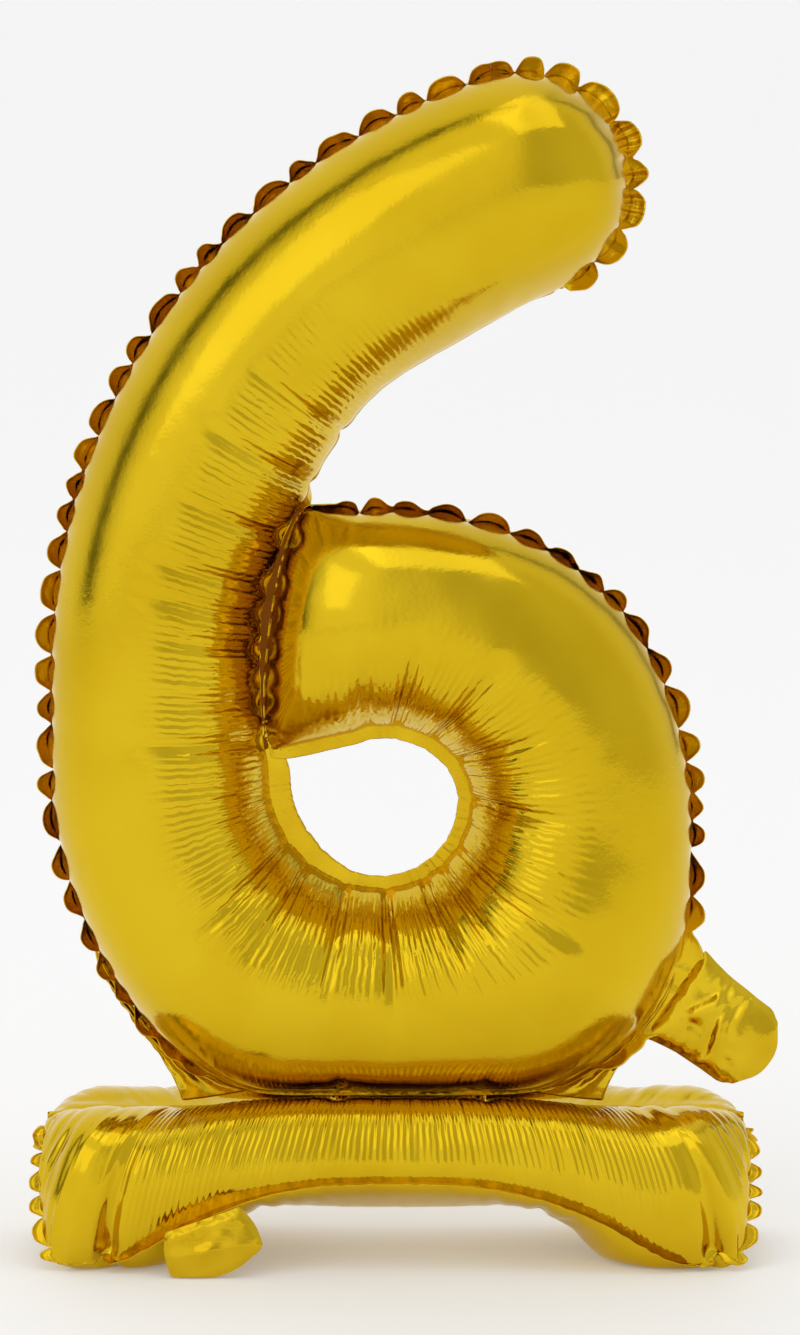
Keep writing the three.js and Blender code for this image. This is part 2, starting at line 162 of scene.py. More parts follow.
# the net's points once film that is longer than its smooth shape has settled under air pressure
def wrinkled(net, pressed, loose, hold, limit, values):
    rest = net["points"]
    pressing = np.concatenate([triangles(net["cells"][n]) for n in pressed])
    others = [triangles(net["cells"][n]) for n in loose]
    edges, across = netEdges(np.concatenate([pressing] + others))
    pairs = np.concatenate([edges, across])
    step = rest[pairs[:, 1]] - rest[pairs[:, 0]]
    direction = net["along"][pairs].mean(1)
    direction /= np.maximum(np.linalg.norm(direction, axis=1), 1e-9)[:, None]
    longer = (1 + net["growth"][pairs].mean(1)) ** 2 - 1
    length = np.sqrt((step**2).sum(1) + longer * (step * direction).sum(1) ** 2)
    stiffness = np.concatenate([np.ones(len(edges)), np.full(len(across), values["bending"])])
    ends = Gather(pairs.T.reshape(-1))
    relax = (values["relax"] / ends.sums(np.tile(stiffness, 2)))[:, None]
    neighbours = Gather(edges.T.reshape(-1))
    count = neighbours.sums(np.ones(2 * len(edges)))[:, None]
    corner = Gather(pressing.T.reshape(-1))
    other = edges[:, ::-1].T.reshape(-1)
    rng = np.random.default_rng(values["seed"])
    now = rest + rng.normal(0, values["unevenness"], rest.shape)
    before = now.copy()
    steps = values["steps"]
    for i in range(steps):
        moved = (now - before) * values["swing"]
        before = now.copy()
        p = now[pressing]
        push = corner.sums(np.tile(np.cross(p[:, 1] - p[:, 0], p[:, 2] - p[:, 0]), (3, 1)))
        push /= np.maximum(np.linalg.norm(push, axis=1), 1e-12)[:, None]
        now = now + moved + hold[:, None] * (rest - now)
        now[corner.owners] += values["pressure"] * push
        for _ in range(values["passes"]):
            step = now[pairs[:, 1]] - now[pairs[:, 0]]
            size = np.maximum(np.linalg.norm(step, axis=1), 1e-9)
            pull = (0.5 * stiffness * (size - length) / size)[:, None] * step
            now[ends.owners] += relax * ends.sums(np.concatenate([pull, -pull]))
        if i % values["settleEvery"] == values["settleEvery"] - 1:
            drift = now - rest
            for _ in range(values["settleReach"]):
                around = 0.5 * neighbours.sums(drift[other]) / count
                drift[neighbours.owners] = 0.5 * drift[neighbours.owners] + around
            now -= values["settleShare"] * drift
            before -= values["settleShare"] * drift
        limit(now)
    for _ in range(values["ironing"]):
        around = 0.25 * neighbours.sums(now[other]) / count
        now[neighbours.owners] = 0.75 * now[neighbours.owners] + around
        limit(now)
    return now


def normalsOf(grid):
    n = np.cross(np.gradient(grid, axis=0), np.gradient(grid, axis=1))
    return n / np.maximum(np.linalg.norm(n, axis=-1), 1e-12)[..., None]


def alongOf(grid):
    a = np.gradient(grid, axis=0)
    return a / np.maximum(np.linalg.norm(a, axis=-1), 1e-12)[..., None]


# a value along the run that is 1 at each place and falls away over width
def creaseRow(run, places, width):
    return np.exp(-(((run[:, None] - np.array(places)[None]) / width) ** 2)).sum(1).clip(0, 1)


def unevenPlaces(length, pitch, seed):
    rng = np.random.default_rng(seed)
    gaps = pitch * rng.uniform(0.72, 1.28, int(2 * length / pitch))
    places = np.cumsum(gaps)
    return places[places < length - pitch / 2]


figure = {
    "cell": 0.0023,
    "armMiddle": (0.088, 0.186),
    "armRadius": 0.197,
    "tipAngle": 107,
    "tipRadius": 0.0345,
    "mouthSeam": (
        (0.022, 0.2925),
        (-0.008, 0.273),
        (-0.029, 0.242),
        (-0.0415, 0.208),
        (-0.0425, 0.176),
        (-0.0405, 0.152),
    ),
    "stemFoot": 0.152,
    "bowlFloor": 0.0515,
    "eyeMiddle": (-0.005, 0.145),
    "eyeRadii": (0.0288, 0.0285),
    "eyeTopRadii": (0.0288, 0.024),
    "eyeLeftRadii": (0.0355, 0.0355),
    "depthShare": 0.93,
    "innerSlope": 0.40,
    "margin": 0.0050,
    "eyeMargin": 0.0042,
    "armMargin": 0.0010,
    "waistMargin": 0.0018,
    "weldMargin": 0.0003,
    "neck": {"x": 0.0885, "z": 0.0827, "reach": 0.018, "width": 0.0090},
    "weldBow": 0.0068,
    "weldFade": 0.030,
    "puckerPitch": 0.0124,
    "puckerDepth": 0.0026,
    "curl": 0.0006,
    "eyeSwell": 0.0030,
    "creaseAngles": (96, 74, 52, 32, 8, -24, -40, -54, -80, -111, -140, -160),
    "creaseHeights": (0.164, 0.177, 0.194, 0.204, 0.214, 0.2295, 0.247, 0.262),
    "creaseDepth": 0.0018,
    "waistHeight": 0.0477,
    "waistCreases": (-0.016, 0.025),
    "weldDimples": (
        (-0.0338, 0.2297),
        (-0.0388, 0.2144),
        (-0.0403, 0.2048),
        (-0.0416, 0.1936),
        (-0.0419, 0.1841),
        (-0.0413, 0.1767),
        (-0.0400, 0.1640),
    ),
    "dimpleReach": 0.0028,
    "dimpleDepth": 0.0030,
    "tucked": 0.0015,
    "wall": 0.00025,
}
figureFilm = {
    "bending": 0.3,
    "relax": 1.3,
    "seed": 7,
    "unevenness": 0.00008,
    "pressure": 0.00003,
    "swing": 0.88,
    "steps": 150,
    "passes": 4,
    "settleEvery": 6,
    "settleReach": 30,
    "settleShare": 0.8,
    "ironing": 1,
}


# the outer and the inner seam of the tube that makes the figure, from the arm's tip to the weld
def figureSeams():
    f = figure
    ax, az = f["armMiddle"]
    reach = f["armRadius"] - f["tipRadius"]
    lean = math.radians(f["tipAngle"])
    tipX, tipZ = ax + reach * math.cos(lean), az + reach * math.sin(lean)
    under = (tipX - f["tipRadius"] * math.cos(lean), tipZ - f["tipRadius"] * math.sin(lean))
    left, floorLine, stemFoot = ax - f["armRadius"], f["bowlFloor"], f["stemFoot"]
    armSeam = spaced(splinePoints([under, *f["mouthSeam"]]), 200)
    split = int(0.86 * len(armSeam))
    eyeX, eyeZ = f["eyeMiddle"]
    leftEye, rightEye = f["eyeLeftRadii"], f["eyeRadii"]
    pairs = [
        (arcPoints((ax, az), (f["armRadius"],) * 2, f["tipAngle"], 180), armSeam[:split]),
        (np.array([[left, az], [left, stemFoot]]), armSeam[split - 1 :]),
        (
            bezierPoints((left, stemFoot), (left, 0.114), (-0.078, floorLine), (-0.038, floorLine)),
            arcPoints((eyeX, stemFoot), leftEye, 180, 248.4),
        ),
        (np.array([[-0.038, floorLine], [eyeX, floorLine]]), arcPoints((eyeX, stemFoot), leftEye, 248.4, 270)),
        (np.array([[eyeX, floorLine], [0.034, floorLine]]), arcPoints((eyeX, eyeZ), rightEye, 270, 291.6)),
        (
            bezierPoints((0.034, floorLine), (0.066, floorLine), (0.094, 0.080), (0.094, 0.122)),
            arcPoints((eyeX, eyeZ), rightEye, 291.6, 347.4),
        ),
        (np.array([[0.094, 0.122], [0.094, 0.136]]), arcPoints((eyeX, eyeZ), rightEye, 347.4, 360)),
        (
            bezierPoints((0.094, 0.136), (0.094, 0.194), (0.060, 0.2375), (eyeX, 0.2375)),
            arcPoints((eyeX, eyeZ), f["eyeTopRadii"], 0, 90),
        ),
        (np.array([[eyeX, 0.2375], [-0.0283, 0.2375]]), np.array([[eyeX, 0.169], [-0.0385, 0.161]])),
    ]
    outer, inner = [], []
    for a, b in pairs:
        middle = 0.5 * (spaced(a, 50) + spaced(b, 50))
        count = max(3, int(runOf(middle)[-1] / 0.001))
        outer.append(spaced(a, count)[:-1])
        inner.append(spaced(b, count)[:-1])
    outer.append(pairs[-1][0][-1:])
    inner.append(pairs[-1][1][-1:])
    return smoothed(np.concatenate(outer), 14), smoothed(np.concatenate(inner), 14)


# the height of a row of round lobes between the puckers
def scallop(puckers):
    at, height = [], []
    for a, b in zip(puckers[:-1], puckers[1:]):
        t = np.linspace(0, 1, 20)[:-1]
        at.append(a + (b - a) * t)
        height.append(np.sin(np.pi * t) ** 0.5)
    return np.concatenate(at), np.concatenate(height)


# cubic through each row, so a seam stays round between its points
def finer(values, times=4):
    rows = len(values)
    at = np.arange(times * (rows - 1) + 1) / times
    i = np.minimum(at.astype(int), rows - 2)
    f = (at - i).reshape((-1,) + (1,) * (values.ndim - 1))
    a, b, c, d = (values[np.clip(i + k, 0, rows - 1)] for k in (-1, 0, 1, 2))
    return b + 0.5 * f * (c - a + f * (2 * a - 5 * b + 4 * c - d + f * (3 * (b - c) + d - a)))


# the settled seam, with a scalloped lip cut and curled along it
def roundedMargin(net, name, margin, side):
    strip = net["points"][net["index"][name]]
    seam = finer(strip[:, 0])
    away = strip[:, 2] - strip[:, 0]
    away /= np.linalg.norm(away, axis=1)[:, None].clip(1e-9)
    away = finer(smoothed(away, margin["evening"]))
    away /= np.linalg.norm(away, axis=1)[:, None].clip(1e-9)
    tangent = np.gradient(smoothed(seam, 6), axis=0)
    up = np.cross(tangent, away)
    up *= side / np.linalg.norm(up, axis=1)[:, None].clip(1e-9)
    cut = np.interp(finer(margin["run"]), *scallop(margin["puckers"]))
    free = np.clip(finer(margin["free"]), 0, 1)
    phase = 1 - free * (1 - cut)
    width = np.maximum(finer(margin["width"]), 0.0002) * (0.26 + 0.74 * phase)
    share = np.array([-0.25, 0.1, 0.4, 0.7, 0.88, 1.0])
    curl = margin["curl"] * (free * cut)[:, None] * np.sin(np.pi * share.clip(0) * 0.8)
    across = away[:, None] * (width[:, None] * share)[..., None]
    points = seam[:, None] + across + up[:, None] * curl[..., None]
    return {"points": points, "along": points * 0, "growth": 0.0, "run": 0.0, "fine": 0.0}


# sharp creases that air pressure would push out again, so they go in after the film has settled
def pressedIn(net, name, depth):
    grid = net["points"][net["index"][name]]
    normal = normalsOf(grid)
    if normal[..., 1].sum() * (1 if name == "back" else -1) < 0:
        normal = -normal
    inside = net["index"][name][1:-1, 1:-1]
    net["points"][inside] = (grid - normal * depth[..., None])[1:-1, 1:-1]


def figureNet():
    f = figure
    outer, inner = figureSeams()
    middle = 0.5 * (outer + inner)
    run = runOf(middle)
    rows = int(run[-1] / f["cell"])
    columns = int(math.pi * f["tipRadius"] / f["cell"])
    rng = np.random.default_rng(3)
    s = np.repeat(np.linspace(0, run[-1], rows)[:, None], columns, 1)
    q = np.repeat(np.linspace(0, 1, columns)[None], rows, 0)
    s[1:-1, 1:-1] += rng.uniform(-0.22, 0.22, (rows - 2, columns - 2)) * f["cell"]
    q[1:-1, 1:-1] += rng.uniform(-0.22, 0.22, (rows - 2, columns - 2)) / columns
    rowRun = np.linspace(0, run[-1], rows)

    def track(values, at):
        return np.stack([np.interp(at, run, values[:, k]) for k in range(2)], -1)

    o, i = track(outer, s), track(inner, s)
    centre = 0.5 * (o + i)
    half = 0.5 * np.linalg.norm(o - i, axis=-1)
    out = (o - i) / (2 * half[..., None])
    onward = np.stack([-out[..., 1], out[..., 0]], -1)
    fromTip = np.clip(s / f["tipRadius"], 0, 1)
    toWeld = np.clip((run[-1] - s) / f["weldFade"], 0, 1)
    bow = -f["tipRadius"] * (1 - fromTip) + f["weldBow"] * (1 - toWeld)
    fade = np.sqrt(1 - (1 - np.clip(2 * fromTip, 0, 1)) ** 2) * np.sqrt(toWeld * (2 - toWeld))
    turn = np.pi * q
    flat = centre + out * (half * np.cos(turn))[..., None] + onward * (bow * np.sin(turn))[..., None]
    section = np.sin(turn).clip(0) ** (1 + f["innerSlope"] * smoothStep(q, 0.5, 0.85))
    depth = f["depthShare"] * half * fade * section
    front = np.stack([flat[..., 0], -depth, flat[..., 1]], -1)

    # long creases from the eye and the weld, and short puckers along the outer seam
    outerRow, innerRow = track(outer, rowRun), track(inner, rowRun)
    outerRun, innerRun = runOf(outerRow), runOf(innerRow)
    angle = np.degrees(np.arctan2(innerRow[:, 1] - 0.1415, innerRow[:, 0] + 0.0070))
    later = innerRow[:, 1] < 0.1695
    places = []
    for wanted in f["creaseAngles"]:
        off = np.abs((angle - wanted + 180) % 360 - 180) + np.where(later, 0, 400)
        places.append(innerRun[off.argmin()])
    for height in f["creaseHeights"]:
        off = np.abs(innerRow[:, 1] - height) + np.where(rowRun < 0.35, 0, 1)
        places.append(innerRun[off.argmin()])
    reach = np.random.default_rng(11).uniform(0.42, 0.62, len(places))
    dent = np.zeros_like(q)
    extra = np.zeros_like(q)
    for x in f["waistCreases"]:
        place = rowRun[(np.abs(outerRow[:, 0] - x) + np.where(outerRow[:, 1] < 0.06, 0, 1)).argmin()]
        crease = np.exp(-(((s - place) / 0.0017) ** 2)) * np.exp(-((turn * half / 0.016) ** 2))
        dent += crease * smoothStep(q, 0, 0.06)
    for place, far in zip(places, reach):
        across = np.exp(-(((np.interp(s, rowRun, innerRun) - place) / 0.0012) ** 2))
        fadeIn = np.clip((q - (1 - far)) / far, 0, 1)
        ease = np.sin(np.pi * np.clip(fadeIn, 0, 1) ** 0.8) ** 0.7
        dent += across * ease
        extra += 0.22 * across * smoothStep(fadeIn, 0, 0.35)
    seamLine = np.concatenate([front[0, :0:-1], front[:, 0]])[:, [0, 2]]
    seamRun = runOf(seamLine)
    puckers = np.concatenate([[0], unevenPlaces(seamRun[-1], f["puckerPitch"], 21), seamRun[-1:]])
    cusp = creaseRow(seamRun, puckers[1:-1], 0.0014)
    phase = np.interp(seamRun, *scallop(puckers))
    facing = np.gradient(seamLine, axis=0)
    facing = smoothed(np.stack([-facing[:, 1], facing[:, 0]], 1) / np.linalg.norm(facing, axis=1)[:, None], 3)
    flatPoints = front[..., [0, 2]].reshape(-1, 2)
    nearest = np.concatenate(
        [((part[:, None] - seamLine[None]) ** 2).sum(-1).argmin(1) for part in np.array_split(flatPoints, 40)]
    )
    straight = np.linalg.norm(flatPoints - seamLine[nearest], axis=1).reshape(q.shape)
    distance = half * np.arccos(np.clip(1 - straight / half, -1, 1))
    rim = np.exp(-((distance / 0.0055) ** 1.5))
    cuspHere = cusp[nearest].reshape(q.shape)
    facingHere = facing[nearest].reshape(q.shape + (2,))
    if (facing[len(facing) // 2] * (outer[len(outer) // 2] - inner[len(inner) // 2])).sum() < 0:
        facingHere = -facingHere
    clearOfWaist = smoothStep(front[..., 2], 0.054, 0.060)
    normal = -normalsOf(front) if normalsOf(front)[..., 1].sum() > 0 else normalsOf(front)
    normal[:, [0, -1]] = 0
    front = front - normal * (f["creaseDepth"] * dent.clip(0, 1))[..., None]
    inward = -np.stack([facingHere[..., 0], np.zeros_like(q), facingHere[..., 1]], -1)
    front = front + inward * (f["puckerDepth"] * cuspHere * rim * clearOfWaist)[..., None]
    front[:, [0, -1], 1] = 0
    front[[0, -1], :, 1] = 0

    growth = 0.005 + 0.010 * smoothStep(q, 0.55, 0.95) + 0.09 * rim + extra
    fine = smoothStep(q, 0.44, 0.60) * (1 - smoothStep(q, 0.84, 0.93))
    fine = fine + 0.35 * (1 - smoothStep(distance, 0.002, 0.012))
    fine = fine * smoothStep(s, 0.03, 0.10) * smoothStep(run[-1] - s, 0.004, 0.02)
    across = np.interp(s, rowRun, 0.35 * outerRun + 0.65 * innerRun)
    shared = {"along": alongOf(front), "growth": growth, "run": across, "fine": fine}
    flip = np.array([1, -1, 1])
    grids = {
        "front": {**shared, "points": front},
        "back": {**shared, "points": front * flip, "along": shared["along"] * flip, "turned": True},
    }

    # the sealed margin, outside the whole seam line
    loop = np.concatenate([front[:-1, 0], front[-1, :-1], front[:0:-1, -1], front[0, :0:-1]])
    kind = np.concatenate(
        [np.zeros(rows - 1), np.full(columns - 1, 2), np.ones(rows - 1), np.full(columns - 1, 3)]
    )
    seam = np.vstack([loop, loop[:1]])[:, [0, 2]]
    tangent = np.roll(loop, -1, 0) - np.roll(loop, 1, 0)
    tangent = tangent[:, [0, 2]] / np.linalg.norm(tangent, axis=1)[:, None]
    outward = np.stack([-tangent[:, 1], tangent[:, 0]], 1)
    area = 0.5 * np.sum(seam[:-1, 0] * seam[1:, 1] - seam[:-1, 1] * seam[1:, 0])
    outward = smoothed(outward * (-1 if area > 0 else 1), 4)
    width = np.full(len(loop), f["margin"])
    width[kind == 1] = f["eyeMargin"]
    atWeld = (kind == 2) | ((kind == 1) & (loop[:, 0] < -0.030) & (loop[:, 2] > 0.168) & (loop[:, 2] < 0.232))
    width[atWeld] = f["weldMargin"]
    width[(kind == 1) & (loop[:, 2] > 0.245)] = f["armMargin"]
    width = smoothed(width, 8)
    outerPhase = np.concatenate([phase[columns - 1 : -1], np.ones(columns + rows - 2), phase[: columns - 1]])
    fromNeck = np.hypot(loop[:, 0] - f["neck"]["x"], loop[:, 2] - f["neck"]["z"])
    neck = np.exp(-((fromNeck / f["neck"]["reach"]) ** 2))
    fullWidth = width * (1 - neck) + f["neck"]["width"] * neck
    width = width * (0.25 + 0.75 * outerPhase) * (1 - neck) + f["neck"]["width"] * neck
    leftOfEye = np.clip((-0.012 - loop[:, 0]) / 0.020, 0, 1) * (kind == 1) * (loop[:, 2] < 0.160)
    width = width + f["eyeSwell"] * smoothed(leftOfEye, 6)
    rings = [np.insert(loop[:, [0, 2]] + outward * (width * share)[:, None], 1, 0, 1) for share in (0, 0.5, 1)]
    for ring, forward in zip(rings[1:], (0.0003, 0.0012)):
        ring[:, 1] -= forward * outerPhase * ((kind == 0) | (kind == 3)) * (1 - neck)
    strip = np.stack(rings, 1)
    strip = np.concatenate([strip, strip[:1]])
    slack = np.concatenate([np.where(kind == 1, 0.0, 0.04), [0.04]])
    low = smoothStep(strip[:, 0, 2], 0.052, 0.060)
    lengthwise = np.zeros_like(strip)
    lengthwise[:, :, [0, 2]] = np.vstack([tangent, tangent[:1]])[:, None]
    grids["seal"] = {
        "points": strip,
        "along": lengthwise,
        "growth": np.repeat((slack * low)[:, None], 3, 1),
        "run": 0.0,
        "fine": 0.0,
    }
    stem = front[rowRun < 0.46, -1]
    weldEnd = front[-1]
    opposite = stem[np.linalg.norm(weldEnd[:, None] - stem[None], axis=-1).argmin(1)]
    weld = np.stack([weldEnd, 0.5 * (weldEnd + opposite), opposite], 1)
    grids["weld"] = {"points": weld, "along": alongOf(weld), "growth": 0.02, "run": 0.0, "fine": 0.0}
    net = sewn(grids)
    net["cells"]["seal"] = np.concatenate([net["cells"]["seal"], net["cells"]["weld"]])
    hold = np.full(len(net["points"]), 0.004)
    p = net["points"]
    hold[p[:, 2] < 0.0530] = 0.25
    sealPoints = np.unique(net["cells"]["seal"])
    inEye = (p[:, 2] < 0.172) & (np.hypot(p[:, 0] + 0.006, p[:, 2] - 0.1415) < 0.0335)
    eyePoints = sealPoints[inEye[sealPoints]]
    hold[eyePoints] = 0.05
    hold[np.unique(net["cells"]["weld"])] = 0.35
    scalloped = ((kind == 0) | (kind == 3)) * (1 - neck) * smoothStep(loop[:, 2], 0.066, 0.084)
    scalloped = smoothed(scalloped, 2)
    nearWaist = 1 - smoothStep(loop[:, 2], 0.055, 0.066)
    fullWidth = fullWidth * (1 - nearWaist) + f["waistMargin"] * nearWaist
    innerSide = np.full(columns + rows - 2, seamRun[-1])
    loopRun = np.concatenate([seamRun[columns - 1 : -1], innerSide, seamRun[: columns - 1]])
    margin = {
        "run": np.append(loopRun, loopRun[0]),
        "free": np.append(scalloped, scalloped[0]),
        "width": np.append(fullWidth + f["eyeSwell"] * smoothed(leftOfEye, 6), fullWidth[0]),
        "puckers": puckers,
        "curl": f["curl"],
        "evening": 10,
    }
    return net, hold, margin


def aboveWaist(points):
    points[:, 2] = np.maximum(points[:, 2], figure["waistHeight"])


figureParts, figureHold, figureMargin = figureNet()
print("figure net", len(figureParts["points"]), "points")
figureParts["points"] = wrinkled(
    figureParts, ["front", "back"], ["seal"], figureHold, aboveWaist, figureFilm
)
for side in ("front", "back"):
    place = figureParts["points"][figureParts["index"][side]][..., [0, 2]]
    away = [np.linalg.norm(place - np.array(dimple), axis=-1) for dimple in figure["weldDimples"]]
    pit = sum(np.exp(-(distance / figure["dimpleReach"]) ** 2) for distance in away)
    pressedIn(figureParts, side, figure["dimpleDepth"] * pit)
weldPoints = figureParts["points"][figureParts["index"]["weld"]]
across = weldPoints[:, -1] - weldPoints[:, 0]
across /= np.linalg.norm(across, axis=1)[:, None].clip(1e-9)
tucked = figure["tucked"]  # the weld runs on between the films, so no slit opens beside it
weldStart, weldEnd = weldPoints[:, 0] - tucked * across, weldPoints[:, -1] + tucked * across
weldPoints = np.concatenate([weldStart[:, None], weldPoints, weldEnd[:, None]], 1)
figureSeal = sewn(
    {
        "seal": roundedMargin(figureParts, "seal", figureMargin, 1),
        # fine is 1 on the weld, so the seal material paints its dark brown shade there
        "weld": {"points": weldPoints, "along": weldPoints, "growth": 0.0, "run": 0.0, "fine": 1.0},
    }
)
figureSeal["cells"]["seal"] = np.concatenate([figureSeal["cells"]["seal"], figureSeal["cells"]["weld"]])
print("figure film settled")


base = {
    "cell": 0.0021,
    "halfLength": 0.111,
    "halfDepth": 0.039,
    "archHeight": 0.029,
    "archSpan": 0.086,
    "footSeam": 0.0022,
    "recess": 0.0065,
    "footPleats": (-0.092, 0.101),
    "tabAt": -0.060,
    "waistCreases": (-0.016, 0.025),
    "topHeight": 0.0455,
    "corner": 0.043,
    "swell": 0.41,
    "belly": 0.015,
    "footLobe": 0.024,
    "pleatDepth": 0.0066,
    "creaseDepth": 0.0024,
    "foldDepth": 0.0036,
    "margin": 0.0033,
    "tabMargin": 0.0045,
    "puckerPitch": 0.0090,
    "puckerDepth": 0.0026,
    "panelColumns": 25,
    "underColumns": 41,
    "curl": 0.0010,
    "wall": 0.00025,
}
baseFilm = {**figureFilm, "seed": 9, "pressure": 0.00004, "settleShare": 0.55}


def baseNet():
    b = base
    right = []
    for share in (0, 0.3, 0.55, 0.75, 0.9):
        x = share * b["archSpan"]
        height = b["footSeam"] + (b["archHeight"] - b["footSeam"]) * (1 - share**2.6)
        y = -b["halfDepth"] + max(0.0035, b["recess"] * (1 - share**2))
        right.append((x, y, height - 0.001 * (1 - share)))
    right += [
        (0.0878, -b["halfDepth"] + 0.0045, 0.0030),
        (0.0968, -b["halfDepth"] + 0.0050, 0.0022),
        (0.108, -0.0335, 0.0037),
        (0.112, -0.0273, 0.0155),
        (0.1125, -0.01365, 0.0292),
        (0.1112, -0.0030, 0.0385),
        (0.1110, 0.0, 0.0395),
    ]
    left = [(-x, y, z) for x, y, z in right[:0:-1]]
    seam = splinePoints(left + right, 900)
    rows = int(runOf(seam)[-1] / b["cell"])
    seam = spaced(seam, rows)
    seam[[0, -1], 1] = 0
    share = np.linspace(0, 1, rows)
    run = runOf(seam)
    puckers = np.concatenate([[0], unevenPlaces(run[-1], b["puckerPitch"], 31), run[-1:]])
    ends = smoothStep(np.abs(seam[:, 0]), 0.080, 0.100)
    cusp = creaseRow(run, puckers, 0.0012) * (0.10 + 0.90 * ends)
    along2 = 2 * share - 1
    top = np.stack([b["halfLength"] * along2, np.zeros(rows), b["topHeight"] - 0.0025 * along2**4], 1)
    outward = np.stack([np.sign(seam[:, 0]) * ends * 1.3, ends - 1, np.zeros(rows)], 1)
    outward /= np.linalg.norm(outward, axis=1)[:, None]
    seam = seam - outward * (b["puckerDepth"] * cusp)[:, None]
    for x in b["footPleats"]:
        near = np.exp(-(((seam[:, 0] - x) / 0.0024) ** 2)) * (seam[:, 1] < -0.030)
        seam[:, 1] += 0.0025 * near
        seam[:, 2] += 0.0050 * near
    seam[[0, -1], 1] = 0

    t = np.linspace(0, 1, b["panelColumns"])[None, :, None]
    chord = (seam - top)[:, None]
    facing = np.stack([seam[:, 0] / b["halfLength"] * 0.35, -np.ones(rows), np.full(rows, 0.6)], 1)[:, None]
    chordSquared = (chord**2).sum(-1, keepdims=True).clip(1e-9)
    swell = facing - chord * (facing * chord).sum(-1, keepdims=True) / chordSquared
    swell /= np.linalg.norm(swell, axis=-1, keepdims=True)
    size = np.linalg.norm(chord, axis=-1, keepdims=True)
    closing = smoothStep(np.minimum(share, 1 - share) * run[-1], 0, 0.020)[:, None, None]
    rounded = np.sin(np.pi * t) ** 0.85
    front = top[:, None] + chord * t + swell * b["swell"] * size * rounded * np.sqrt(closing)
    rimCusp = np.exp(-(((1 - t[..., 0]) * size[..., 0] / 0.006) ** 1.5)) * cusp[:, None]
    dent = 0.0018 * rimCusp
    for x in b["footPleats"]:
        opening = 0.0010 + 0.0085 * smoothStep(t[..., 0], 0.74, 1.0)
        near = np.maximum(0, 1 - np.abs(seam[:, :1] - x) / opening)
        dent = dent + b["pleatDepth"] * near * smoothStep(t[..., 0], 0.72, 0.99)
    waistDent = 0
    for x in b["waistCreases"]:
        near = np.exp(-(((top[:, 0] - x) / 0.0016) ** 2))[:, None]
        waistDent = waistDent + b["creaseDepth"] * near * (1 - smoothStep(t[..., 0], 0.20, 0.46))
    rng = np.random.default_rng(37)
    for place in np.concatenate([np.linspace(0.02, 0.16, 6), np.linspace(0.84, 0.98, 6)]):
        place = place + rng.uniform(-0.006, 0.006)
        lean = rng.uniform(-0.035, 0.035)
        far = rng.uniform(0.35, 0.65)
        line = share[:, None] - place - lean * (1 - t[..., 0])
        near = np.maximum(0, 1 - np.abs(line) / 0.008)
        dent = dent + b["foldDepth"] * near * smoothStep(t[..., 0], 1 - far, 1.0 - far * 0.3)
    front[:, 1:-1] -= (swell * dent[..., None])[:, 1:-1]

    u = np.linspace(-1, 1, b["underColumns"])[None, :]
    toCorner = smoothStep(np.abs(top[:, 0]), 0, b["halfLength"])[:, None]
    middleHeight = b["belly"] + (b["corner"] - 0.006 - b["belly"]) * toCorner**1.6
    lobe = b["footLobe"] * smoothStep(np.abs(seam[:, 0]), 0.047, 0.090)[:, None]
    lobe = lobe * np.clip((b["corner"] - seam[:, 2:]) / b["corner"], 0, 1) ** 2
    inward = 1 - np.abs(u) ** 1.5
    sag = lobe * np.sin(np.pi * np.abs(u)) ** 0.8
    x = seam[:, :1] + (top[:, :1] - seam[:, :1]) * inward
    y = -seam[:, 1:2] * u
    z = seam[:, 2:] + (middleHeight - seam[:, 2:]) * inward * closing[..., 0] - sag
    under = np.stack([x + 0 * u, y, np.maximum(z, 0.0004)], -1)

    flip = np.array([1, -1, 1])
    arch = (1 - smoothStep(np.abs(seam[:, 0]), 0.085, 0.100))[:, None]
    down = t[0, :, 0]
    growthFront = 0.006 + 0.02 * smoothStep(down, 0.6, 1)[None] + 0.008 * (1 - smoothStep(down, 0, 0.3))[None]
    growthFront = growthFront + 0.07 * (1 - arch)
    fine = np.sin(np.pi * np.clip(down * 1.05 - 0.05, 0, 1))[None] ** 0.8 * (0.10 + 0.90 * arch)
    shared = {"along": alongOf(front), "growth": growthFront, "run": run[:, None] + 0 * down, "fine": fine}
    phase = np.interp(run, *scallop(puckers))
    width = b["margin"] * (1 - ends * 0.7 * (1 - phase))
    besideTab = b["tabMargin"] * np.exp(-(((seam[:, 0] - b["tabAt"]) / 0.013) ** 2))
    width = width + besideTab
    strip = np.stack([seam + outward * (width * k / 2)[:, None] for k in (0, 1, 2)], 1)
    stripAlong = alongOf(strip)
    marginGrowth = (0.01 + 0.10 * ends)[:, None] + np.zeros((1, 3))
    lip = np.stack([top + np.array([0, 0, h]) for h in (0, 0.0009, 0.0018)], 1)
    sealed = {"growth": marginGrowth, "run": 0.0, "fine": 0.0}
    grids = {
        "front": {**shared, "points": front, "turned": True},
        "back": {**shared, "points": front * flip, "along": shared["along"] * flip},
        "under": {
            "points": under,
            "along": alongOf(under),
            "growth": 0.02,
            "run": run[:, None],
            "fine": 0.0,
            "turned": True,
        },
        "frontSeal": {**sealed, "points": strip, "along": stripAlong},
        "backSeal": {**sealed, "points": strip * flip, "along": stripAlong * flip},
        "topSeal": {**sealed, "points": lip, "along": alongOf(lip), "growth": 0.0},
    }
    net = sewn(grids)
    hold = np.full(len(net["points"]), 0.004)
    seams = np.unique(np.concatenate([net["cells"]["frontSeal"], net["cells"]["backSeal"]]))
    hold[seams] = 0.05
    hold[np.unique(net["cells"]["topSeal"])] = 0.4
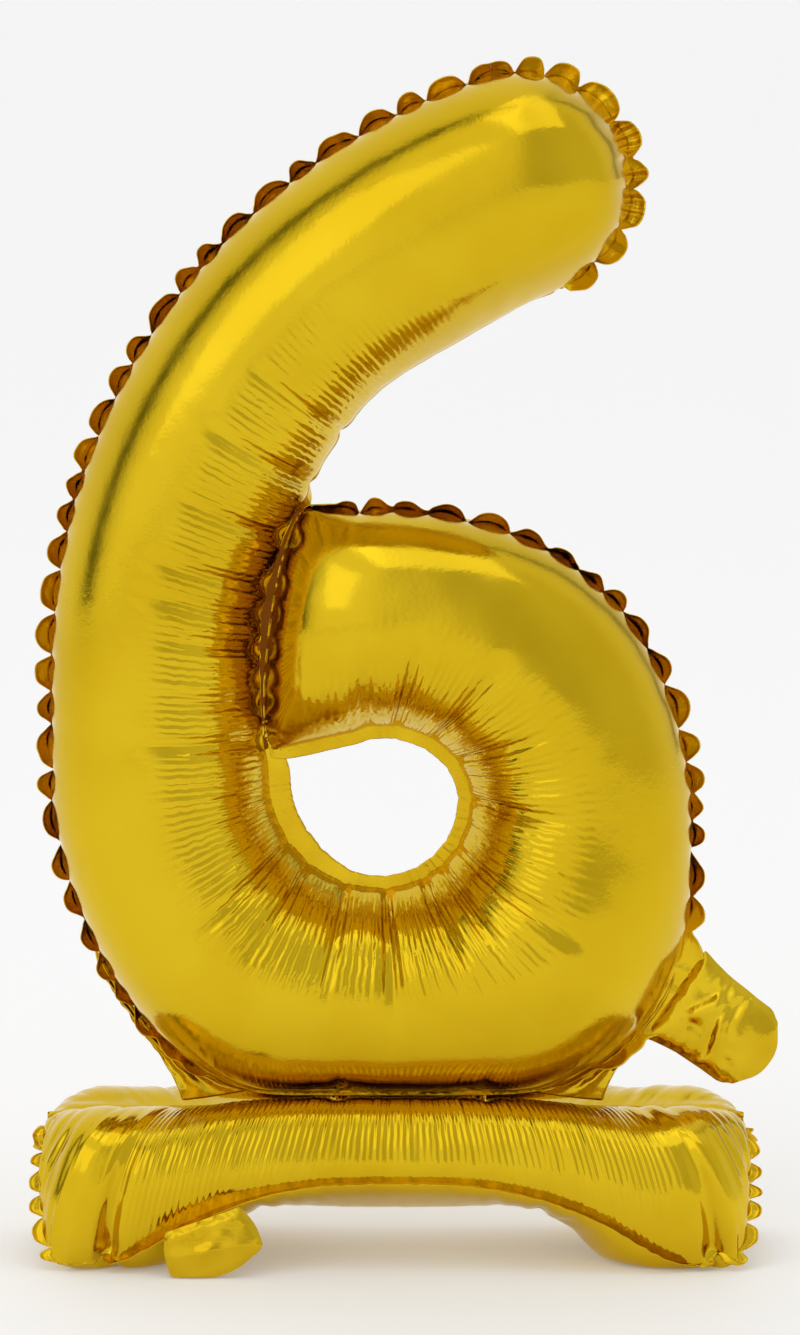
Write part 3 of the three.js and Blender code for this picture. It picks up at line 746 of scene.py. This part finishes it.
    margin = {
        "run": run,
        "free": ends,
        "width": b["margin"] + besideTab,
        "puckers": puckers,
        "curl": b["curl"],
        "evening": 4,
    }
    return net, hold, margin, waistDent


def aboveFloor(points):
    points[:, 2] = np.maximum(points[:, 2], 0.0003)
    nearWaist = np.abs(points[:, 1]) < 0.008
    points[nearWaist, 2] = np.minimum(points[nearWaist, 2], 0.0472)


baseParts, baseHold, baseMargin, baseWaistDent = baseNet()
print("base net", len(baseParts["points"]), "points")
baseParts["points"] = wrinkled(
    baseParts, ["front", "back", "under"], ["frontSeal", "backSeal", "topSeal"], baseHold, aboveFloor, baseFilm
)
for side in ("front", "back"):
    pressedIn(baseParts, side, baseWaistDent)
sealSides = {"frontSeal": 1, "backSeal": -1}
baseSeals = sewn({name: roundedMargin(baseParts, name, baseMargin, side) for name, side in sealSides.items()})
print("base film settled")


def flapFilm(seed, **changes):
    return {**figureFilm, "seed": seed, "steps": 60, "passes": 3, "ironing": 0, "settleShare": 0.3, **changes}


def unlimited(points):
    return points


webs = {"footLeft": -0.068, "footRight": 0.066, "growth": 0.07, "ripple": 0.0015, "wall": 0.0002}


# the flat film in the corner between the bowl and the base, on the left (-1) or the right (1)
def webNet(side):
    outer, _ = figureSeams()
    f = figure
    if side < 0:
        edge = outer[(outer[:, 0] < -0.045) & (outer[:, 1] < 0.100)]
        edge = edge[np.argsort(-edge[:, 1])]
        foot = webs["footLeft"]
    else:
        edge = outer[(outer[:, 0] > 0.040) & (outer[:, 1] < 0.092)]
        edge = edge[np.argsort(-edge[:, 1])]
        foot = webs["footRight"]
    centre = np.array([0.0, 0.140])
    away = edge - centre
    edge = edge + away / np.linalg.norm(away, axis=1)[:, None] * 0.0010
    bottom = f["waistHeight"] + 0.0004
    edge[:, 1] = np.maximum(edge[:, 1], bottom)
    rows = 34
    inner = spaced(edge, rows)
    top = inner[0]
    rim = bezierPoints(top, top + [side * -0.001, -0.016], (foot * 1.05, 0.064), (foot, bottom))
    rim = spaced(rim, rows)
    across = np.linspace(0, 1, 14)[None, :, None]
    flat = inner[:, None] * (1 - across) + rim[:, None] * across
    points = np.insert(flat, 1, 0, -1)
    down = np.linspace(0, 1, rows)[:, None]
    ripple = np.sin(2 * np.pi * (2.3 * across[..., 0] + 0.25 * down)) * np.sin(np.pi * down**0.8)
    points[..., 1] += webs["ripple"] * ripple * np.sin(np.pi * across[..., 0]) ** 0.5
    along = alongOf(points)
    grid = {"points": points, "along": along, "growth": webs["growth"], "run": 0.0, "fine": 0.0}
    if side > 0:
        grid["turned"] = True
    net = sewn({"web": grid})
    hold = np.full(len(net["points"]), 0.01)
    hold[np.unique(net["cells"]["web"][:, 0])] = 0.05
    low = net["points"][:, 2] < f["waistHeight"] + 0.001
    hold[low] = 0.6
    net["points"] = wrinkled(net, ["web"], [], hold, aboveWaist, flapFilm(13, pressure=0))
    return net


webParts = {side: webNet(side) for side in (-1, 1)}
print("waist webs settled")


# a filling tab: two crumpled layers that hang from its hinge
def tabNet(values):
    w, length = values["width"] / 2, values["length"]
    rows, columns = int(length / 0.0012), int(values["width"] / 0.0012)
    t = np.linspace(0, 1, rows)
    waist = np.interp(t, [0, 0.12, 0.3, 0.55, 0.8, 1.0], values["profile"])
    half = w * smoothed(waist, 3)
    u = np.linspace(-1, 1, columns)
    corner = np.clip((t[:, None] - 0.72) / 0.28, 0, 1)
    end = 1 - values["roundness"] * (np.abs(u)[None] ** 2.5) * corner
    x = half[:, None] * u[None] * (1 - 0.10 * corner**2)
    z = -length * t[:, None] * end
    rng = np.random.default_rng(values["seed"])
    bulge = np.sin(np.pi * np.clip(t * 1.02, 0, 1))[:, None] ** 0.7 * np.cos(0.5 * np.pi * u)[None] ** 0.8
    crumple = np.zeros_like(x)
    for _ in range(12):
        angle, place, width = rng.uniform(0, np.pi), rng.uniform(-0.6, 0.6), rng.uniform(0.10, 0.26)
        line = (x / w * np.cos(angle) + (z / length + 0.5) * 2 * np.sin(angle)) - place
        crumple += rng.uniform(-1, 1) * np.maximum(0, 1 - np.abs(line) / width)
    front = np.stack([x, -values["puff"] * bulge - values["crumple"] * crumple * bulge, z + 0 * x], -1)
    back = np.stack([x, values["puff"] * bulge - values["crumple"] * crumple * bulge, z + 0 * x], -1)
    sway = values["sway"] * t[:, None] ** 2
    grids = {}
    for name, points in (("front", front), ("back", back)):
        points = points + np.stack([0 * x, sway + 0 * x, 0 * x], -1)
        points = np.array(values["hinge"]) + points @ values["frame"]
        grids[name] = {
            "points": points,
            "along": alongOf(points),
            "growth": values["growth"],
            "run": 0.0,
            "fine": 0.0,
            "turned": name == "back",
        }
    net = sewn(grids)
    hold = np.full(len(net["points"]), 0.02)
    rootPoints = np.abs((net["points"] - np.array(values["hinge"])) @ values["frame"][2]) < 0.0008
    hold[rootPoints] = 0.8
    film = flapFilm(values["seed"], pressure=0.00004)
    net["points"] = wrinkled(net, ["front", "back"], [], hold, values["limit"], film)
    return net


# three directions for a flap: across it, out of it, and up towards its root
def turnedFrame(across, down):
    across, down = np.array(across, float), np.array(down, float)
    across /= np.linalg.norm(across)
    down -= across * (down @ across)
    down /= np.linalg.norm(down)
    return np.stack([across, np.cross(-down, across), -down])


figureTab = {
    "width": 0.030,
    "length": 0.0370,
    "profile": (1.14, 1.08, 1.00, 0.97, 0.95, 0.84),
    "roundness": 0.16,
    "puff": 0.0030,
    "crumple": 0.0017,
    "sway": -0.003,
    "growth": 0.09,
    "seed": 17,
    "hinge": (0.08835, 0, 0.0828),
    "between": ("number", "number_tab"),
    "bendLength": 0.012,
    "frame": turnedFrame((0.5878, 0, 0.809), (0.809, 0, -0.5878)),
    "limit": unlimited,
}
baseTab = {
    "width": 0.031,
    "length": 0.0182,
    "profile": (0.80, 0.86, 0.96, 1.0, 0.98, 0.90),
    "roundness": 0.20,
    "puff": 0.0006,
    "crumple": 0.0011,
    "sway": 0.0,
    "growth": 0.08,
    "seed": 19,
    "hinge": (-0.0605, -0.0432, 0.0186),
    "between": ("base", "base_tab"),
    "bendLength": 0.009,
    "frame": turnedFrame((0.94, 0, 0.33), (0.25, -0.06, -0.9168)),
    "limit": aboveFloor,
}
figureTabParts, baseTabParts = tabNet(figureTab), tabNet(baseTab)
print("filling tabs settled")


foils = {
    "goldFoil": {
        "dark": (0.655, 0.430, 0.009),
        "pale": (0.720, 0.490, 0.014),
        "smooth": 0.10,
        "dull": 0.19,
        "grain": 650,
        "grainDepth": 0.00004,
        "patch": 22,
        "ribPitch": 0.0023,
        "ribDrift": 7,
        "ribWander": 26,
        "ribDepth": 0.00011,
    },
    "goldSealFoil": {
        "dark": (0.640, 0.390, 0.009),
        "pale": (0.740, 0.490, 0.014),
        "smooth": 0.15,
        "dull": 0.28,
        "grain": 520,
        "grainDepth": 0.00016,
        "patch": 60,
        # painted shade: the dark brown laid on the pinched weld in place of the shadow in its fold
        "weldShade": (0.17, 0.05, 0.004),
    },
    "crumpledFoil": {
        "dark": (0.630, 0.400, 0.010),
        "pale": (0.740, 0.510, 0.018),
        "smooth": 0.12,
        "dull": 0.24,
        "grain": 260,
        "grainDepth": 0.00022,
        "patch": 45,
    },
}


def noiseOf(nodes, links, coords, scale, detail):
    noise = nodes.new("ShaderNodeTexNoise")
    noise.inputs["Scale"].default_value = scale
    noise.inputs["Detail"].default_value = detail
    links.new(coords.outputs["Object"], noise.inputs["Vector"])
    return noise.outputs["Fac"]


def spreadOf(nodes, links, value, low, high):
    spread = nodes.new("ShaderNodeMapRange")
    spread.inputs["From Min"].default_value = 0.32
    spread.inputs["From Max"].default_value = 0.68
    spread.inputs["To Min"].default_value = low
    spread.inputs["To Max"].default_value = high
    links.new(value, spread.inputs["Value"])
    return spread.outputs["Result"]


def foilMaterial(name):
    look = foils[name]
    material = bpy.data.materials.new(name)
    material.use_nodes = True
    nodes, links = material.node_tree.nodes, material.node_tree.links
    shader = nodes["Principled BSDF"]
    shader.inputs["Metallic"].default_value = 1
    coords = nodes.new("ShaderNodeTexCoord")
    # slight drift of the lacquer's colour, and the wear that dulls it in patches
    tint = nodes.new("ShaderNodeValToRGB")
    tint.color_ramp.elements[0].position = 0.35
    tint.color_ramp.elements[1].position = 0.65
    tint.color_ramp.elements[0].color = (*look["dark"], 1)
    tint.color_ramp.elements[1].color = (*look["pale"], 1)
    links.new(noiseOf(nodes, links, coords, look["patch"], 3), tint.inputs["Fac"])
    if look.get("weldShade"):
        # painted shade: the pinched weld between stem and bowl is tinted dark brown, standing in for the
        # shadow in its deep fold
        weldMask, paintedShade = nodes.new("ShaderNodeAttribute"), nodes.new("ShaderNodeMix")
        weldMask.attribute_name = "fine"
        paintedShade.data_type = "RGBA"
        colourIn = [s for s in paintedShade.inputs if s.name in ("A", "B") and s.type == "RGBA"]
        colourIn[1].default_value = (*look["weldShade"], 1)
        links.new(weldMask.outputs["Fac"], paintedShade.inputs["Factor"])
        links.new(tint.outputs["Color"], colourIn[0])
        colour = [s for s in paintedShade.outputs if s.type == "RGBA"][0]
        links.new(colour, shader.inputs["Base Color"])
    else:
        links.new(tint.outputs["Color"], shader.inputs["Base Color"])
    dulling = noiseOf(nodes, links, coords, look["patch"] * 4, 5)
    links.new(spreadOf(nodes, links, dulling, look["smooth"], look["dull"]), shader.inputs["Roughness"])
    # the film's own fine crinkle
    bump = nodes.new("ShaderNodeBump")
    bump.inputs["Strength"].default_value = 1
    bump.inputs["Distance"].default_value = look["grainDepth"]
    links.new(noiseOf(nodes, links, coords, look["grain"], 2), bump.inputs["Height"])
    links.new(bump.outputs["Normal"], shader.inputs["Normal"])
    if look.get("ribPitch"):
        # the finest ribs beside the eye and the weld, along the seam's own run
        run, mask = nodes.new("ShaderNodeAttribute"), nodes.new("ShaderNodeAttribute")
        run.attribute_name, mask.attribute_name = "run", "fine"
        turns = nodes.new("ShaderNodeMath")
        turns.operation = "MULTIPLY_ADD"
        turns.inputs[1].default_value = 2 * math.pi / look["ribPitch"]
        links.new(run.outputs["Fac"], turns.inputs[0])
        drift = nodes.new("ShaderNodeMath")
        drift.operation = "MULTIPLY"
        drift.inputs[1].default_value = look["ribDrift"]
        links.new(noiseOf(nodes, links, coords, look["ribWander"], 1), drift.inputs[0])
        links.new(drift.outputs[0], turns.inputs[2])
        wave, height = nodes.new("ShaderNodeMath"), nodes.new("ShaderNodeMath")
        wave.operation, height.operation = "SINE", "MULTIPLY"
        links.new(turns.outputs[0], wave.inputs[0])
        links.new(wave.outputs[0], height.inputs[0])
        links.new(mask.outputs["Fac"], height.inputs[1])
        ribs = nodes.new("ShaderNodeBump")
        ribs.inputs["Distance"].default_value = look["ribDepth"]
        links.new(height.outputs[0], ribs.inputs["Height"])
        links.new(ribs.outputs["Normal"], bump.inputs["Normal"])
    return material


def meshObject(name, net, cells):
    used = np.unique(cells)
    number = np.zeros(len(net["points"]), int)
    number[used] = np.arange(len(used))
    faces = [[v for k, v in enumerate(c) if v != c[k - 1]] for c in number[cells].tolist()]
    mesh = bpy.data.meshes.new(name)
    mesh.from_pydata(net["points"][used].tolist(), [], [c for c in faces if len(c) > 2])
    for attribute in ("run", "fine"):
        data = mesh.attributes.new(attribute, "FLOAT", "POINT").data
        data.foreach_set("value", net[attribute][used].astype(np.float32))
    mesh.shade_smooth()
    obj = bpy.data.objects.new(name, mesh)
    bpy.context.collection.objects.link(obj)
    return obj


fineWrinkles = {"Levels": 1, "Pitch": 0.0021, "Height": 0.0010, "Seed": 4.0}
wrinkleNoise = {"detail": 1.5, "wander": 22}


# fine wrinkles that run across the film, lifted by noise on the run along its seam
def wrinkleTree():
    tree = bpy.data.node_groups.new("fineWrinkles", "GeometryNodeTree")
    face = tree.interface
    face.new_socket("Geometry", in_out="INPUT", socket_type="NodeSocketGeometry")
    for name, kind in (("Levels", "Int"), ("Pitch", "Float"), ("Height", "Float"), ("Seed", "Float")):
        face.new_socket(name, in_out="INPUT", socket_type="NodeSocket" + kind)
    face.new_socket("Material", in_out="INPUT", socket_type="NodeSocketMaterial")
    face.new_socket("Geometry", in_out="OUTPUT", socket_type="NodeSocketGeometry")
    nodes, links = tree.nodes, tree.links
    start, end = nodes.new("NodeGroupInput"), nodes.new("NodeGroupOutput")

    def mathNode(kind, a, b):
        node = nodes.new("ShaderNodeMath")
        node.operation = kind
        for socket, value in zip(node.inputs, (a, b)):
            if isinstance(value, (int, float)):
                socket.default_value = value
            else:
                links.new(value, socket)
        return node.outputs[0]

    def named(name):
        node = nodes.new("GeometryNodeInputNamedAttribute")
        node.data_type = "FLOAT"
        node.inputs["Name"].default_value = name
        return node.outputs["Attribute"]

    smooth = nodes.new("GeometryNodeSubdivisionSurface")
    links.new(start.outputs["Geometry"], smooth.inputs["Mesh"])
    links.new(start.outputs["Levels"], smooth.inputs["Level"])
    noise = nodes.new("ShaderNodeTexNoise")
    noise.noise_dimensions = "4D"
    noise.inputs["Scale"].default_value = 1
    noise.inputs["Detail"].default_value = wrinkleNoise["detail"]
    place = nodes.new("ShaderNodeCombineXYZ")
    links.new(mathNode("DIVIDE", named("run"), start.outputs["Pitch"]), place.inputs["X"])
    position = nodes.new("GeometryNodeInputPosition")
    wander = nodes.new("ShaderNodeVectorMath")
    wander.operation = "SCALE"
    links.new(position.outputs[0], wander.inputs[0])
    wander.inputs["Scale"].default_value = wrinkleNoise["wander"]
    lengthened = nodes.new("ShaderNodeVectorMath")
    lengthened.operation = "ADD"
    links.new(place.outputs[0], lengthened.inputs[0])
    links.new(wander.outputs[0], lengthened.inputs[1])
    links.new(lengthened.outputs[0], noise.inputs["Vector"])
    links.new(start.outputs["Seed"], noise.inputs["W"])
    height = mathNode("MULTIPLY", mathNode("SUBTRACT", noise.outputs[0], 0.5), 2)
    height = mathNode("MULTIPLY", mathNode("MULTIPLY", height, named("fine")), start.outputs["Height"])
    lift = nodes.new("ShaderNodeVectorMath")
    lift.operation = "SCALE"
    normal = nodes.new("GeometryNodeInputNormal")
    links.new(normal.outputs[0], lift.inputs[0])
    links.new(height, lift.inputs["Scale"])
    move = nodes.new("GeometryNodeSetPosition")
    links.new(smooth.outputs[0], move.inputs["Geometry"])
    links.new(lift.outputs[0], move.inputs["Offset"])
    real = nodes.new("GeometryNodeRealizeInstances")
    finish = nodes.new("GeometryNodeSetMaterial")
    links.new(move.outputs[0], real.inputs[0])
    links.new(real.outputs[0], finish.inputs["Geometry"])
    links.new(start.outputs["Material"], finish.inputs["Material"])
    links.new(finish.outputs[0], end.inputs[0])
    return tree


gold, sealed, crumpled = (foilMaterial(name) for name in foils)
filmTree = wrinkleTree()


# one piece of film: its net with the wrinkles applied, its wall, and what it rides on
def finished(name, net, cells, body, replaced, material=gold, thickness=0, values=fineWrinkles):
    obj = meshObject(name, net, cells)
    modifier = obj.modifiers.new("fineWrinkles", "NODES")
    modifier.node_group = filmTree
    sockets = {s.name: s.identifier for s in filmTree.interface.items_tree if s.in_out == "INPUT"}
    for key, value in values.items():
        modifier[sockets[key]] = value
    modifier[sockets["Material"]] = material
    graph = bpy.context.evaluated_depsgraph_get()
    mesh = bpy.data.meshes.new_from_object(obj.evaluated_get(graph))
    obj.modifiers.remove(modifier)
    obj.data = mesh
    mesh.name = name
    mesh.shade_smooth()
    if thickness:
        wall = obj.modifiers.new("wall", "SOLIDIFY")
        wall.thickness = thickness
        wall.offset = 0
    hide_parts(*replaced)
    if isinstance(body, str):
        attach(obj, body)
    else:  # a tab hangs from its body, but here it is not attached to one; its placement is baked into its mesh
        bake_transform(obj)
    return obj


plainFilm = {**fineWrinkles, "Levels": 0, "Height": 0.0}
ribbedFilm = {**fineWrinkles, "Levels": 2, "Pitch": 0.0014, "Height": 0.0006}
for name, cells, node in (
    ("numberFrontFoil", "front", "number_front_panel"),
    ("numberBackFoil", "back", "number_back_panel"),
):
    finished(name, figureParts, figureParts["cells"][cells], "number", [node])
finished(
    "numberEdgeSeal",
    figureSeal,
    figureSeal["cells"]["seal"],
    "number",
    ["number_edge_seal"],
    sealed,
    figure["wall"],
    plainFilm,
)
for name, cells, node, film in (
    ("baseFrontFoil", "front", "base_front_panel", ribbedFilm),
    ("baseBackFoil", "back", "base_back_panel", ribbedFilm),
    ("baseUndersideFoil", "under", "base_gusset_panel", fineWrinkles),
):
    finished(name, baseParts, baseParts["cells"][cells], "base", [node], values=film)
for name, net, cells, node in (
    ("baseFrontSeal", baseSeals, "frontSeal", "base_front_seal"),
    ("baseBackSeal", baseSeals, "backSeal", "base_back_seal"),
    ("baseTopSeal", baseParts, "topSeal", "base_top_seal"),
):
    finished(name, net, net["cells"][cells], "base", [node], sealed, base["wall"], plainFilm)
for side, name, node in ((-1, "waistWebLeft", "waist_web_left"), (1, "waistWebRight", "waist_web_right")):
    net = webParts[side]
    finished(name, net, net["cells"]["web"], "number", [node], crumpled, webs["wall"])
for name, net, tab, prefix in (
    ("numberTab", figureTabParts, figureTab, "number_tab"),
    ("baseTab", baseTabParts, baseTab, "base_tab"),
):
    for side in ("front", "back"):
        pieceName, node = name + side.capitalize() + "Layer", f"{prefix}_{side}_layer"
        finished(pieceName, net, net["cells"][side], tab, [node], crumpled)
print("gold film finished")

valveLook = {
    "colour": (0.88, 0.89, 0.86),
    "transmission": 0.85,
    "ior": 1.49,
    "haze": 180,
    "smooth": 0.14,
    "dull": 0.34,
    "grainDepth": 0.0001,
}


def clearFilm():
    material = bpy.data.materials.new("clearFilm")
    material.use_nodes = True
    nodes, links = material.node_tree.nodes, material.node_tree.links
    shader = nodes["Principled BSDF"]
    shader.inputs["Base Color"].default_value = (*valveLook["colour"], 1)
    shader.inputs["Transmission Weight"].default_value = valveLook["transmission"]
    shader.inputs["IOR"].default_value = valveLook["ior"]
    coords = nodes.new("ShaderNodeTexCoord")
    haze = noiseOf(nodes, links, coords, valveLook["haze"], 4)
    links.new(spreadOf(nodes, links, haze, valveLook["smooth"], valveLook["dull"]), shader.inputs["Roughness"])
    bump = nodes.new("ShaderNodeBump")
    bump.inputs["Distance"].default_value = valveLook["grainDepth"]
    links.new(haze, bump.inputs["Height"])
    links.new(bump.outputs["Normal"], shader.inputs["Normal"])
    return material


valveFilm = clearFilm()
for prefix in ("number_valve_film_", "base_valve_film_"):
    for side in ("front", "back"):
        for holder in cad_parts[prefix + side].material_slots:
            holder.material = valveFilm
print("valve films finished")


cameraData = bpy.data.cameras.new("camera")
camera = bpy.data.objects.new("camera", cameraData)
bpy.context.collection.objects.link(camera)
bpy.context.scene.camera = camera
view = {"target": (0.0014, 0, 0.1873), "distance": 2.5, "lift": 8, "rows": 1335, "scale": 0.0003158}
target = Vector(view["target"])
lift = math.radians(view["lift"])
camera.location = target + Vector((0, -view["distance"] * math.cos(lift), view["distance"] * math.sin(lift)))
camera.rotation_euler = (target - camera.location).to_track_quat("-Z", "Y").to_euler()
cameraData.sensor_fit = "VERTICAL"
cameraData.angle = 2 * math.atan(0.5 * view["rows"] * view["scale"] / view["distance"])

studio = {
    "floorReach": 60,
    "floorColour": (0.93, 0.93, 0.93),
    "floorRoughness": 0.7,
    "floorGlow": 0.16,
    "skyStrength": 1.0,
    "skyBands": (
        (0.00, 0.95),
        (0.16, 0.90),
        (0.235, 0.85),
        (0.262, 0.12),
        (0.280, 0.12),
        (0.305, 0.80),
        (0.34, 1.00),
        (0.40, 1.05),
        (0.49, 1.00),
        (0.525, 0.60),
        (0.58, 0.62),
        (0.66, 0.74),
        (0.74, 0.70),
        (0.80, 0.86),
        (0.850, 0.80),
        (0.866, 0.12),
        (0.882, 0.75),
        (1.00, 0.95),
    ),
}
reach = studio["floorReach"]
floorMesh = bpy.data.meshes.new("floor")
floorCorners = [(-reach, -reach, 0), (reach, -reach, 0), (reach, reach, 0), (-reach, reach, 0)]
floorMesh.from_pydata(floorCorners, [], [(0, 1, 2, 3)])
floor = bpy.data.objects.new("floor", floorMesh)
bpy.context.collection.objects.link(floor)
paleFloor = bpy.data.materials.new("paleFloor")
paleFloor.use_nodes = True
floorInputs = paleFloor.node_tree.nodes["Principled BSDF"].inputs
floorInputs["Base Color"].default_value = (*studio["floorColour"], 1)
floorInputs["Roughness"].default_value = studio["floorRoughness"]
floorInputs["Emission Color"].default_value = (1, 1, 1, 1)
floorInputs["Emission Strength"].default_value = studio["floorGlow"]
floorMesh.materials.append(paleFloor)


# a soft studio all round, as bands of light and shade by the way they face
def studioWorld():
    world = bpy.data.worlds.new("studio")
    bpy.context.scene.world = world
    world.use_nodes = True
    nodes, links = world.node_tree.nodes, world.node_tree.links
    background = nodes["Background"]
    background.inputs["Strength"].default_value = studio["skyStrength"]
    coords = nodes.new("ShaderNodeTexCoord")
    split = nodes.new("ShaderNodeSeparateXYZ")
    links.new(coords.outputs["Generated"], split.inputs[0])
    side = nodes.new("ShaderNodeMath")
    side.operation = "ARCTAN2"
    links.new(split.outputs["X"], side.inputs[0])
    flipped = nodes.new("ShaderNodeMath")
    flipped.operation = "MULTIPLY"
    flipped.inputs[1].default_value = -1
    links.new(split.outputs["Y"], flipped.inputs[0])
    links.new(flipped.outputs[0], side.inputs[1])
    spread = nodes.new("ShaderNodeMapRange")
    spread.inputs["From Min"].default_value = -math.pi
    spread.inputs["From Max"].default_value = math.pi
    links.new(side.outputs[0], spread.inputs["Value"])
    ramp = nodes.new("ShaderNodeValToRGB")
    ramp.color_ramp.interpolation = "B_SPLINE"
    elements = ramp.color_ramp.elements
    while len(elements) < len(studio["skyBands"]):
        elements.new(0.5)
    for element, (at, value) in zip(elements, studio["skyBands"]):
        element.position = at
        element.color = (value, value, value, 1)
    links.new(spread.outputs[0], ramp.inputs[0])
    links.new(ramp.outputs[0], background.inputs["Color"])


studioWorld()


def softBox(name, place, aim, size, power):
    data = bpy.data.lights.new(name, "AREA")
    data.shape = "RECTANGLE"
    data.size, data.size_y = size
    data.energy = power
    light = bpy.data.objects.new(name, data)
    bpy.context.collection.objects.link(light)
    light.location = place
    light.rotation_euler = (Vector(aim) - Vector(place)).to_track_quat("-Z", "Y").to_euler()


softBox("keyLight", (-1.3, -1.6, 1.5), (0, 0, 0.2), (1.2, 1.6), 2.2)
softBox("topLight", (0.2, -0.3, 2.0), (0, 0, 0.2), (1.2, 1.2), 2.6)
bpy.context.scene.view_settings.view_transform = "Standard"
print("studio ready")
